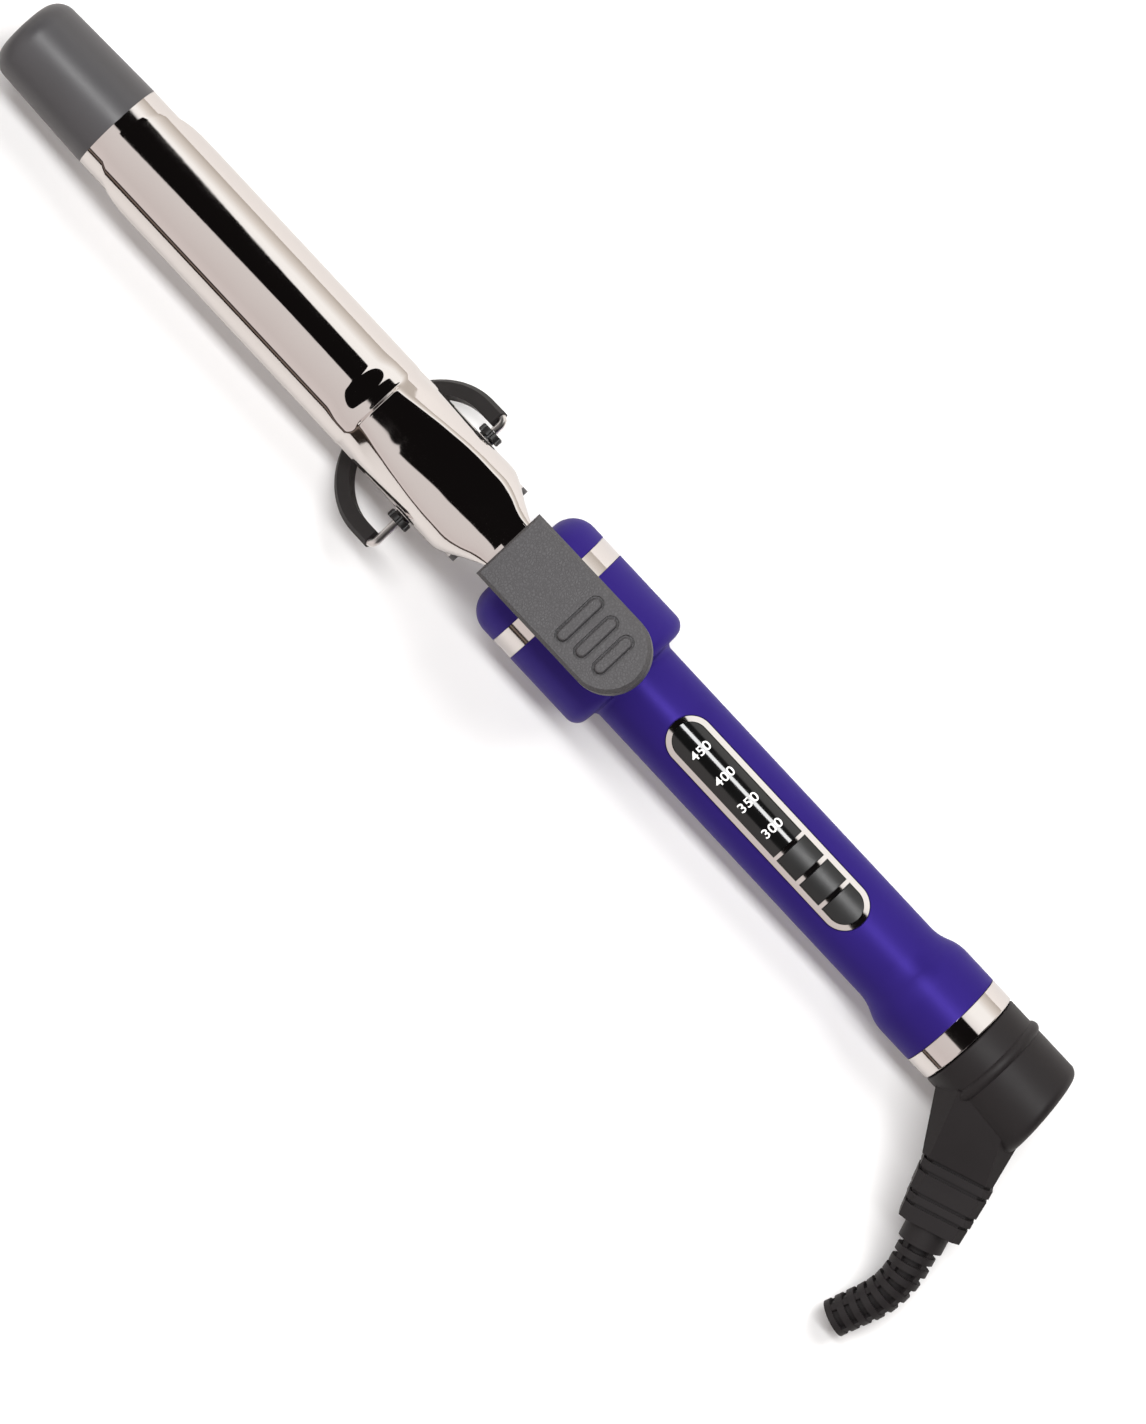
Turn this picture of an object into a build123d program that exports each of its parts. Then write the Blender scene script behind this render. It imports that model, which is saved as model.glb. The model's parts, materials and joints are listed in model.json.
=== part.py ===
from build123d import *

import math
import os

# A 25 mm clamp curling iron. The design frame used while modelling has its origin on the barrel's axis
# at the clamp's pivot, +X from the cool tip to the cord end, +Y to one side and +Z up through the clamp.
# Everything is moved at the end so that the origin is at the middle of the bottom of the whole object.
# All sizes are in millimetres and all angles in degrees.

# Stations along the axis
TIP_X = -152.1
BARREL_START = -118.5
SPOON_START = -115.8
GROOVE_X = -25.5
BARREL_END = 15.0
NOSE_START = 27.2
BAND_START = 37.6
BAND_END = 43.8
SHOULDER_END = 67.8
FLARE_START = 166.5
FLARE_END = 172.0
GRIP_END = 183.9
RING_START = 184.0
RING_END = 190.6
ELBOW_START = 190.9

# Barrel and tip
BARREL_R = 12.7
BARREL_WALL = 1.0
BARREL_IN_R = BARREL_R - BARREL_WALL
TIP_FRONT_R = 11.7
TIP_ROUND = 5.5
TIP_WALL = 2.0
SLIP = 0.05

# Clamp
SHEET = 0.9
SPOON_IN_R = 13.0
SPOON_R = SPOON_IN_R + SHEET
SPOON_RISE = 1.5
GROOVE_WIDTH = 1.8
GROOVE_START = GROOVE_X - GROOVE_WIDTH / 2 - SHEET
GROOVE_END = GROOVE_X + GROOVE_WIDTH / 2 + SHEET
GROOVE_DEPTH = 1.5
GROOVE_ARC_R = 16.0
SPOON_EDGE_Z = 0.5
EAR_R = 4.6
BOSS_R = 2.25
PAD_TILT = 13.0
PAD_X = 23.2
PAD_Z = 24.4
PAD_LENGTH = 47.2
PAD_WIDTH = 21.1
PAD_THICK = 4.4
PAD_BEVEL = 1.5
TONGUE_WIDTH = 12.4
TONGUE_LENGTH = 38.0
PAD_SCREW_PLACES = (10.0, 32.0)
PAD_RIBS = ((26.3, 13.9), (32.4, 12.6), (38.5, 11.6))
RIB_WIDTH = 3.0
RIB_TRENCH = 1.3
# The lever's cross-sections: a station along X, then one side's corners as (y, z) from its lower edge up.
LEVER_SECTIONS = (
    (GROOVE_END - 0.4, ((13.69, 2.0), (12.7, 6.65), (9.15, 11.7), (5.0, 14.9))),
    (-10.0, ((13.9, 0.5), (13.9, 6.5), (11.0, 12.0), (6.8, 15.3))),
    (0.0, ((13.9, 0.5), (13.9, 8.0), (11.3, 13.2), (7.0, 16.4))),
    (10.9, ((13.9, 4.5), (13.9, 11.5), (11.3, 16.6), (7.0, 19.6))),
    (16.5, ((11.4, 13.5), (11.4, 17.6), (9.6, 20.3), (6.8, 22.4))),
    (PAD_X, ((7.65, 22.4), (7.65, 24.0), (7.2, 24.7), (6.2, 25.2))),
)
FLANGE_R = 3.3
FLANGE_IN = 14.45
FLANGE_OUT = 16.55

# Stand: a wire with a sleeve, hinged on the clamp's pivot line and resting below the axis
STAND_ANGLE = 35.5
STAND_SHIFT = -2.0
WIRE_R = 1.05
WIRE_HALF = 22.6
WIRE_BEND = 1.8
STRAP_OUT = 24.0
STRAP_IN = 19.4
STRAP_THICK = 3.4
STAND_ARC_X = 6.9
PIN_END = 9.0

# Handle
SHOULDER_R = 18.7
GRIP_R = 12.1
FLARE_R = 14.5
SHELL_WALL = 2.0
NECK_R = 7.4
NECK_BORE = 5.0
SHELL_SCREW_PLACES = (75.0, 160.0)
SCREW_BOSS_R = 3.2

# Control panel, let into the top of the grip
PANEL_START = 82.7
PANEL_END = 150.7
PANEL_X = (PANEL_START + PANEL_END) / 2
PANEL_LENGTH = PANEL_END - PANEL_START
PANEL_WIDTH = 12.4
PANEL_RIM = 1.4
PANEL_TOP_R = GRIP_R + 0.3
PANEL_LEDGE_R = 11.0
PANEL_GAP = 0.25
WINDOW_END = 123.9
BARS = ((123.9, 124.9), (131.9, 133.1), (140.1, 141.2))
BUTTON_SPANS = {"button_up": (124.9, 131.9), "button_down": (133.1, 140.1), "button_power": (141.2, 150.0)}
BUTTON_GAP = 0.18
BUTTON_TOP_R = GRIP_R + 0.7
BUTTON_FLANGE = 0.4
FLANGE_TOP = 9.2
BUTTON_FOOT = 8.4
LEAD_R = 0.8
BOARD_TOP = 5.6
BOARD_THICK = 1.2
BOARD_SIZE = (74.0, 15.0)
BOARD_SCREW_PLACES = (PANEL_X - 34.5, PANEL_X + 34.5)
BOARD_SCREW_Y = 5.5
SCALE_STEP = 8.65
SCALE_FIRST = 92.3

# Cord swivel and elbow
ELBOW_R = 14.3
ELBOW_LENGTH = 26.3
ELBOW_END_TILT = 6.5
ELBOW_ROUND = 2.8
BEAD_X = 199.5
BEAD_R = 1.7
SPINDLE_R = 5.0
NECK_TURN = 70.0
NECK_X = 214.8
NECK_Y = -27.7
RELIEF_START = 12.4
RELIEF_STRAIGHT = 10.0
RELIEF_ARC_R = 25.0
RELIEF_TURN = 36.0
RELIEF_END = 10.0
RELIEF_DROOP = 12.0
RELIEF_RIB_R = 5.3
RELIEF_CORE_R = 3.9
RELIEF_SPINE_R = 4.8
RELIEF_PITCH = 3.4
RELIEF_RIBS = 10
CORD_BORE_R = 2.9
# The elbow's neck at its root and at its first block: distance, width, height, bevel and sideways shift.
NECK_ROOT = (-23.5, 26.0, 23.0, 6.0, -2.9)
NECK_TAPER_END = (-4.6, 19.6, 17.0, 1.9, -0.7)
# Each block of the elbow's neck: start, end, start width, end width, height and bevel.
NECK_BLOCKS = (
    (-4.6, -3.6, 17.6, 17.6, 14.4, 1.8),
    (-3.6, -1.4, 19.2, 19.1, 15.6, 2.0),
    (-1.4, -0.4, 17.2, 17.2, 14.0, 1.8),
    (-0.4, 4.6, 19.0, 18.4, 15.2, 2.1),
    (4.6, 5.5, 16.6, 16.6, 13.2, 1.8),
    (5.5, 7.5, 18.0, 17.9, 14.4, 2.0),
    (7.5, 8.4, 15.8, 15.8, 12.6, 1.8),
    (8.4, RELIEF_START, 17.4, 16.9, 13.8, 2.1),
)

AXIAL = Rot(0, 90, 0)


# ---------------------------------------------------------------- helpers


def bar(radius, start, end):
    """A round bar on the X axis from start to end."""
    return Pos((start + end) / 2, 0, 0) * AXIAL * Cylinder(radius, end - start)


def tube(outer, inner, start, end):
    """A tube on the X axis."""
    return bar(outer, start, end) - bar(inner, start - 1, end + 1)


def turned(points, rounds=()):
    """A solid of revolution about X from (x, radius) points, with named corners rounded."""
    outline = Face(Wire.make_polygon([Vector(x, r, 0) for x, r in points], close=True))
    for corner, radius in rounds:
        nearest = min(outline.vertices(), key=lambda v: (Vector(*v) - Vector(*corner, 0)).length)
        outline = outline.fillet_2d(radius, [nearest])
    return revolve(outline, Axis.X)


def block(x_span, y_span, z_span):
    """A box given by its lowest and highest values on each axis."""
    size = [high - low for low, high in (x_span, y_span, z_span)]
    centre = [(high + low) / 2 for low, high in (x_span, y_span, z_span)]
    return Pos(*centre) * Box(*size)


def slot(length, width, low, high, x=PANEL_X):
    """A vertical prism with a stadium outline, long side along X."""
    return Pos(x, 0, low) * extrude(SlotOverall(length, width), high - low)


def section(x, points):
    """A closed flat face across the axis from (y, z) points."""
    return Face(Wire.make_polygon([Vector(x, y, z) for y, z in points], close=True))


def group(solids):
    """Several solids that share one node."""
    return Compound(children=list(solids))


def largest(shape):
    """The one solid that a boolean was meant to leave."""
    return max(shape.solids(), key=lambda solid: solid.volume)


# ---------------------------------------------------------------- barrel


def make_cool_tip():
    spigot = BARREL_IN_R - SLIP
    outer = turned(
        [(TIP_X, 0), (TIP_X, TIP_FRONT_R), (BARREL_START, BARREL_R), (BARREL_START, spigot),
         (BARREL_START + 8, spigot), (BARREL_START + 8, 0)],
        [((TIP_X, TIP_FRONT_R), TIP_ROUND)],
    )
    hollow = bar(TIP_FRONT_R - TIP_WALL, TIP_X + TIP_ROUND, BARREL_START + 9)
    post = tube(3.2, 1.2, TIP_X + 3, BARREL_START + 6)
    return outer - hollow + post


def make_tip_disc():
    return tube(TIP_FRONT_R - TIP_WALL - SLIP, 1.6, BARREL_START + 6.0, BARREL_START + 7.2)


def make_tip_screw():
    head = bar(2.4, BARREL_START + 7.2, BARREL_START + 8.6)
    shank = bar(1.15, BARREL_START - 6, BARREL_START + 7.2)
    return head + shank


def make_barrel_tube():
    shell = tube(BARREL_R, BARREL_IN_R, BARREL_START, BARREL_END)
    pivot_hole = Rot(90, 0, 0) * Cylinder(BOSS_R + SLIP, 4 * BARREL_R)
    screw_holes = [at * Cylinder(1.1, 4) for at in screw_places(BARREL_R)]
    return shell - pivot_hole - screw_holes


def screw_places(radius):
    """Where the three barrel screws stand, on the under side of the barrel's rear end."""
    places = []
    for turn in (-60, 0, 60):
        places.append(Rot(turn, 0, 0) * Pos(10, 0, -radius))
    return places


def make_barrel_screws():
    screws = []
    for at in screw_places(0):
        shank = Pos(0, 0, -BARREL_R + 2) * Cylinder(1.05, 4.6)
        head = Pos(0, 0, -BARREL_R - 0.45) * Cylinder(1.9, 0.7)
        recess = Pos(0, 0, -BARREL_R - 0.7) * (Box(2.2, 0.4, 0.4) + Box(0.4, 2.2, 0.4))
        screws.append(at * largest(shank + head - recess))
    return group(screws)


def make_barrel_neck():
    """The heat-proof moulding that plugs the barrel and carries it in the handle."""
    plug_r = BARREL_IN_R - SLIP
    body = turned(
        [(5, 0), (5, plug_r), (BARREL_END, plug_r), (BARREL_END, BARREL_R), (BARREL_END + 1.6, BARREL_R),
         (BARREL_END + 1.6, NECK_R), (BAND_START + 1, NECK_R), (BAND_START + 1, 15.5),
         (BAND_START + 4, 15.5), (BAND_START + 4, NECK_R), (SHOULDER_END - 6, NECK_R), (SHOULDER_END - 6, 0)],
        [((BARREL_END + 1.6, NECK_R), 1.5)],
    )
    screw_holes = [at * Cylinder(1.05 + SLIP, 7) for at in screw_places(BARREL_IN_R - 1.5)]
    return body - bar(NECK_BORE, 0, SHOULDER_END) - screw_holes


def make_heat_spreader(side):
    """One half of the aluminium clamp that carries heat from the ceramic to the tube."""
    half = bar(BARREL_IN_R - 0.1, -104, -10) & block((-104, -10), (-15, 15), (0.1, 15))
    half -= block((-100, -14), (-7.3, 7.3), (0, 1.45)) + block((-15, -9), (-6.0, 6.0), (0, 1.45))
    half -= Pos(-57, 0, 8.2) * AXIAL * Cylinder(1.4, 100)
    half = largest(half)
    return half if side > 0 else Rot(180, 0, 0) * half


def make_ceramic_heater():
    return block((-98, -22), (-6.9, 6.9), (-1.0, 1.0))


def make_heater_terminals():
    strips = []
    for side in (1, -1):
        low, high = sorted((side * 1.02, side * 1.35))
        strips.append(block((-96, -12), (-3, 3), (low, high)))
    return group(strips)


def make_temperature_sensor():
    bead = turned(
        [(-19.8, 0), (-19.8, 1.3), (-17.2, 1.3), (-16.6, 0.7), (-12.5, 0.7), (-12.5, 0)],
        [((-19.8, 1.3), 1.0)],
    )
    return Pos(0, 5, 0) * bead


def make_thermal_fuse():
    body = bar(2.0, 24, 34)
    nose = turned([(34, 0), (34, 2.0), (37, 0.8), (37, 0)])
    return body + nose


# ---------------------------------------------------------------- clamp


def jaw_section(x, centre_z, radius, low):
    """The part of a disc across the axis that lies higher than low above its centre."""
    across = Plane(origin=(x, 0, centre_z), x_dir=(0, 1, 0), z_dir=(1, 0, 0))
    upper = Pos(0, low + 20) * Rectangle(60, 40)
    return across * (Circle(radius) & upper)


def jaw_front_cutter():
    """Everything ahead of the jaw's front edge, which is a half circle when the sheet is flat."""
    flat_r = SPOON_IN_R * math.pi / 2
    above = 2.0
    lead = above * (SPOON_IN_R / SPOON_R) * (SPOON_IN_R / flat_r)
    edge = [Vector(SPOON_START - lead, 0, SPOON_R + above)]
    steps = 10
    for step in range(steps + 1):
        turn = math.pi / 2 * step / steps
        along = flat_r * math.sin(turn)
        drop = flat_r * (1 - math.cos(turn))
        edge.append(Vector(SPOON_START + drop, 0, SPOON_R * math.cos(along / SPOON_IN_R)))
    low = Vector(SPOON_START - 5, 0, edge[-1].Z)
    high = Vector(SPOON_START - 5, 0, edge[0].Z)
    front = Wire([
        Edge.make_spline(edge),
        Edge.make_line(edge[-1], low),
        Edge.make_line(low, high),
        Edge.make_line(high, edge[0]),
    ])
    return extrude(Face(front), 20, dir=(0, 1, 0), both=True)


def make_spoon_half():
    """The curved jaw: a bit under a half tube, its axis rising slightly towards the pivot."""
    start = SPOON_START - 0.5
    outer = loft([
        jaw_section(start, 0, SPOON_R, SPOON_EDGE_Z),
        jaw_section(GROOVE_START, SPOON_RISE, SPOON_R, SPOON_EDGE_Z),
    ], ruled=True)
    inner = loft([
        jaw_section(start, 0, SPOON_IN_R, -5),
        jaw_section(GROOVE_START, SPOON_RISE, SPOON_IN_R, -5),
    ], ruled=True)
    return largest(outer - inner - jaw_front_cutter())


def groove_shape(offset):
    """The cross-section of the pressed groove, offset inwards by a distance."""
    crown = SPOON_R - GROOVE_DEPTH
    low_part = Pos(0, crown - GROOVE_ARC_R) * Circle(GROOVE_ARC_R - offset)
    return Circle(SPOON_R - offset) & low_part


def make_groove():
    """A shallow groove pressed across the clamp where the jaw becomes the lever."""
    across = Plane(origin=(GROOVE_START, 0, SPOON_RISE), x_dir=(0, 1, 0), z_dir=(1, 0, 0))
    upper = Pos(0, SPOON_EDGE_Z + 20) * Rectangle(60, 40)
    full = Circle(SPOON_R) & upper
    wall = extrude(across * (full - groove_shape(SHEET)), SHEET)
    floor = extrude(across.offset(SHEET) * ((groove_shape(0) - groove_shape(SHEET)) & upper), GROOVE_WIDTH)
    return wall + floor + Pos(SHEET + GROOVE_WIDTH, 0, 0) * wall


def lever_section(side, drop):
    """One cross-section of the lever's outer shape, its lower edges run on downwards by drop."""
    (low_y, low_z), (next_y, next_z) = side[:2]
    reach = drop / (next_z - low_z)
    lowered = ((low_y + (low_y - next_y) * reach, low_z - drop),) + side[1:]
    return [(-y, z) for y, z in lowered] + [(y, z) for y, z in reversed(lowered)]


def inset(points):
    """The same outline moved in by the sheet's thickness."""
    outline = Face(Wire.make_polygon([Vector(y, z, 0) for y, z in points], close=True))
    inner = offset(outline, -SHEET, kind=Kind.INTERSECTION)
    return inner


def make_lever():
    outer = loft([section(x, lever_section(side, 0)) for x, side in LEVER_SECTIONS], ruled=True)
    inner_faces = []
    for x, side in LEVER_SECTIONS:
        across = Plane(origin=(x, 0, 0), x_dir=(0, 1, 0), z_dir=(1, 0, 0))
        inner_faces.append(across * inset(lever_section(side, 5)))
    return outer - loft(inner_faces, ruled=True)


def make_ears():
    """Two lugs that carry the clamp on the pivot bushings."""
    ears = []
    for side in (1, -1):
        lug = Rot(90, 0, 0) * Cylinder(EAR_R, SHEET) + block((-EAR_R, EAR_R), (-SHEET / 2, SHEET / 2), (0, 7))
        ears.append(Pos(0, side * (SPOON_IN_R + SHEET / 2), 0) * lug)
    return ears


def pad_place():
    return Pos(PAD_X, 0, PAD_Z) * Rot(0, -PAD_TILT, 0)


def make_clamp_spoon():
    """The jaw, its groove, the lever, the lugs and the tongue are one stamping."""
    tongue = pad_place() * block((-1.0, TONGUE_LENGTH), (-TONGUE_WIDTH / 2, TONGUE_WIDTH / 2), (0.02, SHEET))
    tongue -= [pad_place() * Pos(u, 0, 0) * Cylinder(1.3, 4) for u in PAD_SCREW_PLACES]
    clamp = make_spoon_half() + make_groove() + make_lever() + tongue
    for ear in make_ears():
        clamp += ear
    clamp -= Rot(90, 0, 0) * Cylinder(BOSS_R + SLIP, 4 * SPOON_R)
    return largest(clamp)


def make_thumb_pad():
    radius = PAD_WIDTH / 2
    outline = Pos((PAD_LENGTH - radius) / 2, 0) * Rectangle(PAD_LENGTH - radius, PAD_WIDTH)
    outline += Pos(PAD_LENGTH - radius, 0) * Circle(radius)
    pad = extrude(outline, PAD_THICK)
    top = pad.faces().sort_by(Axis.Z)[-1]
    pad = chamfer(top.edges(), length=PAD_BEVEL, length2=PAD_BEVEL * 0.6)
    pad -= block((-1, TONGUE_LENGTH + 0.3), (-TONGUE_WIDTH / 2 - 0.1, TONGUE_WIDTH / 2 + 0.1), (-1, SHEET + 0.05))
    for u in PAD_SCREW_PLACES:
        pad -= Pos(u, 0, 0) * Cylinder(1.0, 6)
    for u, length in PAD_RIBS:
        trench = Rot(0, 0, 90) * SlotOverall(length + RIB_TRENCH, RIB_WIDTH + RIB_TRENCH)
        rib = Rot(0, 0, 90) * SlotOverall(length, RIB_WIDTH)
        pad -= Pos(u, 0, PAD_THICK - 0.6) * extrude(trench, 2)
        raised = Pos(u, 0, PAD_THICK - 0.7) * extrude(rib, 1.5)
        raised = fillet(raised.faces().sort_by(Axis.Z)[-1].edges(), 0.6)
        pad += raised
    return pad_place() * largest(pad)


def make_pad_screws():
    screws = []
    for u in PAD_SCREW_PLACES:
        shank = Pos(0, 0, 1.25) * Cylinder(0.95, 3.0)
        head = Pos(0, 0, -0.18) * Cylinder(2.1, 0.35)
        slot_cut = Pos(0, 0, -0.35) * (Box(2.4, 0.45, 0.3) + Box(0.45, 2.4, 0.3))
        screws.append(pad_place() * Pos(u, 0, 0) * largest(shank + head - slot_cut))
    return group(screws)


def make_clamp_spring():
    """A folded leaf between the barrel and the lever that keeps the jaw closed."""
    outline = [(0.6, 13.4), (2.2, 12.95), (13.8, 12.95), (13.8, 13.4), (3.0, 13.4), (12.6, 18.6), (12.3, 19.05)]
    leaf = Face(Wire.make_polygon([Vector(x, 0, z) for x, z in outline], close=True))
    return extrude(leaf, 3, dir=(0, 1, 0), both=True)


def make_pivot_bushings():
    """Two black bushings, snapped into the barrel wall, that the lugs turn on."""
    bushings = []
    for side in (1, -1):
        sleeve = Pos(0, 0, 13.25) * Cylinder(BOSS_R, 3.9)
        middle = (FLANGE_IN + FLANGE_OUT) / 2
        flange = Pos(0, 0, middle) * chamfer(Cylinder(FLANGE_R, FLANGE_OUT - FLANGE_IN).edges(), 0.3)
        for step in range(8):
            flange -= Rot(0, 0, step * 45) * Pos(FLANGE_R + 0.15, 0, middle) * Cylinder(0.55, 3)
        bushing = sleeve + flange - Pos(0, 0, 14) * Cylinder(WIRE_R + SLIP, 12)
        bushings.append(Rot(-90 * side, 0, 0) * largest(bushing))
    return group(bushings)


# ---------------------------------------------------------------- stand


def stand_plane():
    """The stand's flat: x runs from the pivot down to its foot, y along the pivot."""
    down = math.radians(STAND_ANGLE)
    return Plane(
        origin=(0, STAND_SHIFT, 0),
        x_dir=(-math.cos(down), 0, -math.sin(down)),
        z_dir=(math.sin(down), 0, -math.cos(down)),
    )


def make_stand_wire():
    """One wire: two pivot ends turned in through the bushings and a bow between them."""
    legs = []
    bend_end = (WIRE_BEND, WIRE_HALF)
    legs.append(Line((0, -PIN_END - STAND_SHIFT), (0, -WIRE_HALF + WIRE_BEND)))
    legs.append(RadiusArc((0, -WIRE_HALF + WIRE_BEND), (bend_end[0], -bend_end[1]), -WIRE_BEND))
    legs.append(Line((WIRE_BEND, -WIRE_HALF), (STAND_ARC_X, -WIRE_HALF)))
    legs.append(ThreePointArc((STAND_ARC_X, -WIRE_HALF), (STAND_ARC_X + WIRE_HALF, 0), (STAND_ARC_X, WIRE_HALF)))
    legs.append(Line((STAND_ARC_X, WIRE_HALF), (WIRE_BEND, WIRE_HALF)))
    legs.append(RadiusArc((bend_end[0], bend_end[1]), (0, WIRE_HALF - WIRE_BEND), -WIRE_BEND))
    legs.append(Line((0, WIRE_HALF - WIRE_BEND), (0, PIN_END - STAND_SHIFT)))
    path = stand_plane() * Wire([edge for leg in legs for edge in leg.edges()])
    start = Plane(origin=path @ 0, z_dir=path % 0)
    return sweep(start * Circle(WIRE_R), path)


def bow(radius, start):
    """The area inside the stand's outline at one radius."""
    straight = Pos((start + STAND_ARC_X) / 2, 0) * Rectangle(STAND_ARC_X - start, 2 * radius)
    return straight + (Pos(STAND_ARC_X, 0) * Circle(radius)) & (Pos(50 + start, 0) * Rectangle(100, 100))


def make_stand_strap(wire):
    """The black sleeve moulded on the wire's bow, bevelled on its upper side."""
    outline = bow(STRAP_OUT, 1.3) - bow(STRAP_IN, 0)
    strap = Pos(0, 0, -STRAP_THICK / 2) * extrude(outline, STRAP_THICK)
    outer = [edge for edge in strap.edges() if on_bow(edge, STRAP_OUT)]
    strap = chamfer(outer, 1.1)
    strap = stand_plane() * strap
    return largest(strap - wire)


def on_bow(edge, radius):
    """True for the long edges that follow the outline at this radius."""
    middle = edge @ 0.5
    reach = abs(middle.Y) if middle.X < STAND_ARC_X else math.hypot(middle.X - STAND_ARC_X, middle.Y)
    return abs(reach - radius) < 0.1 and edge.length > 4 and abs(abs(middle.Z) - STRAP_THICK / 2) < 0.1


# ---------------------------------------------------------------- handle


def make_handle_nose():
    body = turned(
        [(NOSE_START, NECK_R + 0.2), (NOSE_START, SHOULDER_R), (BAND_START, SHOULDER_R), (BAND_START, 16.4),
         (BAND_END, 16.4), (BAND_END, 15.7), (NOSE_START + 7, 15.7), (NOSE_START + 3, 10.7),
         (NOSE_START + 3, NECK_R + 0.2)],
        [((NOSE_START, SHOULDER_R), 7.0), ((NOSE_START, NECK_R + 0.2), 0.6)],
    )
    return body


def make_shoulder_band():
    return tube(SHOULDER_R, 16.45, BAND_START + 0.12, BAND_END - 0.12)


def handle_solid():
    outer = turned(
        [(BAND_END, 0), (BAND_END, SHOULDER_R), (SHOULDER_END, SHOULDER_R), (SHOULDER_END, GRIP_R),
         (FLARE_START, GRIP_R), (FLARE_END, FLARE_R), (GRIP_END, FLARE_R), (GRIP_END, 0)],
        [((SHOULDER_END, SHOULDER_R), 3.5), ((SHOULDER_END, GRIP_R), 1.6), ((FLARE_START, GRIP_R), 12.0),
         ((FLARE_END, FLARE_R), 12.0)],
    )
    inner = turned(
        [(BAND_END - 1, 0), (BAND_END - 1, 16.5), (SHOULDER_END - 3, 16.5), (SHOULDER_END - 3, GRIP_R - SHELL_WALL),
         (FLARE_START, GRIP_R - SHELL_WALL), (FLARE_END, FLARE_R - SHELL_WALL), (GRIP_END + 1, FLARE_R - SHELL_WALL),
         (GRIP_END + 1, 0)],
    )
    return outer - inner


def make_upper_shell():
    shell = handle_solid() & block((0, 250), (-30, 30), (0, 30))
    shell -= slot(PANEL_LENGTH + 2 * PANEL_GAP, PANEL_WIDTH + 2 * PANEL_GAP, 5, 20) - bar(PANEL_LEDGE_R, 0, 250)
    shell -= slot(PANEL_LENGTH - 2.2, PANEL_WIDTH - 1.6, 5, 20)
    inner = bar(GRIP_R - 1, 50, 180)
    for x in SHELL_SCREW_PLACES:
        shell += (Pos(x, 0, 5.6) * Cylinder(SCREW_BOSS_R, 11)) & inner
        shell -= Pos(x, 0, 3) * Cylinder(1.1, 8)
    for x in BOARD_SCREW_PLACES:
        post = Pos(x, BOARD_SCREW_Y, (BOARD_TOP + GRIP_R) / 2) * Cylinder(1.7, GRIP_R - BOARD_TOP)
        shell += post & inner
        shell -= Pos(x, BOARD_SCREW_Y, BOARD_TOP) * Cylinder(0.75, 5)
    return largest(shell)


def make_lower_shell():
    shell = handle_solid() & block((0, 250), (-30, 30), (-30, 0))
    inner = bar(GRIP_R - 1, 50, 180)
    for x in SHELL_SCREW_PLACES:
        shell += (Pos(x, 0, -5.6) * Cylinder(SCREW_BOSS_R, 11)) & inner
        shell -= Pos(x, 0, -GRIP_R) * Cylinder(2.4, 9)
        shell -= Pos(x, 0, -4) * Cylinder(1.35, 10)
    return largest(shell)


def make_shell_screws():
    screws = []
    for x in SHELL_SCREW_PLACES:
        head = Pos(x, 0, -8.3) * Cylinder(2.1, 1.3)
        shank = Pos(x, 0, -2) * Cylinder(1.05, 12)
        cross = Pos(x, 0, -8.9) * (Box(2.4, 0.5, 0.8) + Box(0.5, 2.4, 0.8))
        screws.append(largest(head + shank - cross))
    return group(screws)


def make_end_band():
    """The chrome ring that closes the two shells over an inner lip."""
    ring = turned(
        [(RING_START + 0.1, 11.2), (RING_START + 0.1, FLARE_R), (RING_END, FLARE_R), (RING_END, 11.2)],
        [((RING_END, FLARE_R), 0.4)],
    )
    lip = tube(FLARE_R - SHELL_WALL - SLIP, 11.2, GRIP_END - 5, RING_START + 0.5)
    return ring + lip


# ---------------------------------------------------------------- control panel


def between(outer, inner):
    """The curved layer between two radii, over the grip's top."""
    return bar(outer, PANEL_START - 5, PANEL_END + 5) - bar(inner, PANEL_START - 6, PANEL_END + 6)


def rim_slot(inset):
    """The area inside the bezel's rim, less an inset."""
    trim = 2 * (PANEL_RIM + inset)
    return slot(PANEL_LENGTH - trim, PANEL_WIDTH - trim, 5, 20)


def make_control_bezel():
    rim = slot(PANEL_LENGTH, PANEL_WIDTH, 5, 20) - rim_slot(0)
    for start, end in BARS:
        rim += rim_slot(0) & block((start, end), (-8, 8), (5, 20))
    return largest(rim & between(PANEL_TOP_R, PANEL_LEDGE_R))


def make_display_lens():
    area = rim_slot(0.1) & block((PANEL_START, WINDOW_END - 0.1), (-8, 8), (5, 20))
    return largest(area & between(GRIP_R - 0.05, PANEL_LEDGE_R - 0.6))


def make_button(start, end):
    cap = rim_slot(BUTTON_GAP) & block((start + BUTTON_GAP, end - BUTTON_GAP), (-8, 8), (BUTTON_FOOT, 20))
    cap &= bar(BUTTON_TOP_R, PANEL_START, PANEL_END)
    flange_area = rim_slot(BUTTON_GAP - BUTTON_FLANGE)
    flange_area &= block((start - BUTTON_FLANGE + BUTTON_GAP, end + BUTTON_FLANGE - BUTTON_GAP), (-4.6, 4.6),
                         (BUTTON_FOOT, FLANGE_TOP))
    return largest(cap + flange_area)


def make_circuit_board():
    length, width = BOARD_SIZE
    board = Pos(PANEL_X, 0, BOARD_TOP - BOARD_THICK / 2) * Box(length, width, BOARD_THICK)
    for x in BOARD_SCREW_PLACES:
        board -= Pos(x, BOARD_SCREW_Y, BOARD_TOP) * Cylinder(0.9, 5)
    return board


def make_board_screws():
    screws = []
    for x in BOARD_SCREW_PLACES:
        head = Pos(x, BOARD_SCREW_Y, BOARD_TOP - BOARD_THICK - 0.5) * Cylinder(1.6, 0.9)
        shank = Pos(x, BOARD_SCREW_Y, BOARD_TOP - 0.2) * Cylinder(0.7, 3.6)
        screws.append(head + shank)
    return group(screws)


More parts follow.
